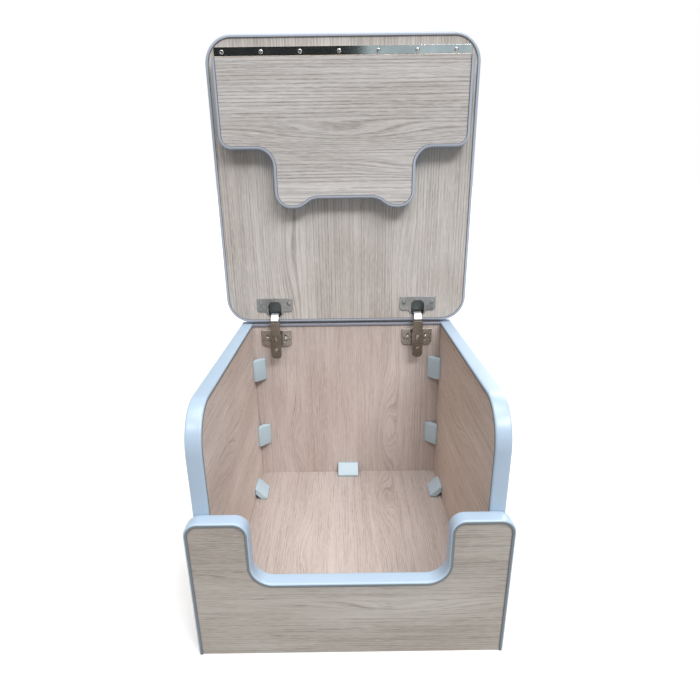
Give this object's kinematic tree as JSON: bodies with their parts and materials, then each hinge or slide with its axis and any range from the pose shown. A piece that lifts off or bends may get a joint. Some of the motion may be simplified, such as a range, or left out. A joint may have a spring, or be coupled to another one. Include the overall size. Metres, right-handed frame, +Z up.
{
  "type": "toy box",
  "caption": "Open-top toy box with a notched front, a lid on two cup hinges and a hanging flap that fills the notch when the lid is shut.",
  "frame": {"origin": "on the ground, below the middle of the whole object's box with the lid open", "axes": "+X to the right seen from the front, +Y to the back, +Z up; the notched front panel faces -Y"},
  "size_m": [0.426, 0.4334, 0.7908],
  "materials": {
    "oak_body": "matt printed oak grain",
    "oak_front": "matt printed oak grain, lying across",
    "oak_lid": "matt printed oak grain",
    "oak_flap": "matt printed oak grain, lying across",
    "edge_trim": "semi-gloss pale blue",
    "bracket_plastic": "satin pale blue-grey",
    "hinge_steel": "nickel-plated, pressed",
    "bright_steel": "bright nickel",
    "screw_steel": "zinc-plated"
  },
  "bodies": {
    "box": {"left_side_panel": "oak_body", "right_side_panel": "oak_body", "back_panel": "oak_body", "front_panel": "oak_front", "floor_panel": "oak_body", "left_side_trim": "edge_trim", "right_side_trim": "edge_trim", "back_top_trim": "edge_trim", "front_panel_trim": "edge_trim", "back_left_upper_bracket": "bracket_plastic", "back_left_lower_bracket": "bracket_plastic", "front_left_bracket": "bracket_plastic", "floor_left_bracket": "bracket_plastic", "back_right_upper_bracket": "bracket_plastic", "back_right_lower_bracket": "bracket_plastic", "front_right_bracket": "bracket_plastic", "floor_right_bracket": "bracket_plastic", "floor_back_bracket": "bracket_plastic", "floor_front_bracket": "bracket_plastic", "left_hinge_arm": "hinge_steel", "left_hinge_plate": "hinge_steel", "left_plate_screw_1": "screw_steel", "left_arm_screw_1": "screw_steel", "left_plate_screw_2": "screw_steel", "left_arm_screw_2": "screw_steel", "right_hinge_arm": "hinge_steel", "right_hinge_plate": "hinge_steel", "right_plate_screw_1": "screw_steel", "right_arm_screw_1": "screw_steel", "right_plate_screw_2": "screw_steel", "right_arm_screw_2": "screw_steel"},
    "lid": {"lid_panel": "oak_lid", "lid_trim": "edge_trim", "piano_hinge_lid_leaf": "bright_steel", "piano_hinge_pin": "bright_steel", "lid_leaf_screw_1": "screw_steel", "lid_leaf_screw_2": "screw_steel", "lid_leaf_screw_3": "screw_steel", "lid_leaf_screw_4": "screw_steel", "lid_leaf_screw_5": "screw_steel", "lid_leaf_screw_6": "screw_steel", "lid_leaf_screw_7": "screw_steel", "left_hinge_cup": "hinge_steel", "left_cup_screw_1": "screw_steel", "left_cup_screw_2": "screw_steel", "right_hinge_cup": "hinge_steel", "right_cup_screw_1": "screw_steel", "right_cup_screw_2": "screw_steel"},
    "flap": {"flap_panel": "oak_flap", "flap_trim": "edge_trim", "piano_hinge_flap_leaf": "bright_steel", "flap_leaf_screw_1": "screw_steel", "flap_leaf_screw_2": "screw_steel", "flap_leaf_screw_3": "screw_steel", "flap_leaf_screw_4": "screw_steel", "flap_leaf_screw_5": "screw_steel", "flap_leaf_screw_6": "screw_steel", "flap_leaf_screw_7": "screw_steel"},
    "left_link": {"left_hinge_link": "bright_steel"},
    "right_link": {"right_hinge_link": "bright_steel"}
  },
  "joints": [
    {"name": "lid_hinge", "type": "hinge", "parent": "box", "child": "lid", "pos_m": [0, 0.20588, 0.35088], "axis": [1, 0, 0], "range_deg": [0, 90]},
    {"name": "flap_hinge", "type": "hinge", "parent": "lid", "child": "flap", "pos_m": [0, 0.19525, 0.759], "axis": [-1, 0, 0], "range_deg": [0, 90]},
    {"name": "left_link_pivot", "type": "hinge", "parent": "box", "child": "left_link", "pos_m": [-0.128, 0.1835, 0.34748], "axis": [1, 0, 0], "range_deg": [-44.1, 0]},
    {"name": "right_link_pivot", "type": "hinge", "parent": "box", "child": "right_link", "pos_m": [0.128, 0.1835, 0.34748], "axis": [1, 0, 0], "range_deg": [-44.1, 0]}
  ],
  "couplings": [
    {"joint": "flap_hinge", "follows": "lid_hinge", "ratio": 1},
    {"joint": "left_link_pivot", "follows": "lid_hinge", "ratio": -0.49},
    {"joint": "right_link_pivot", "follows": "lid_hinge", "ratio": -0.49}
  ]
}
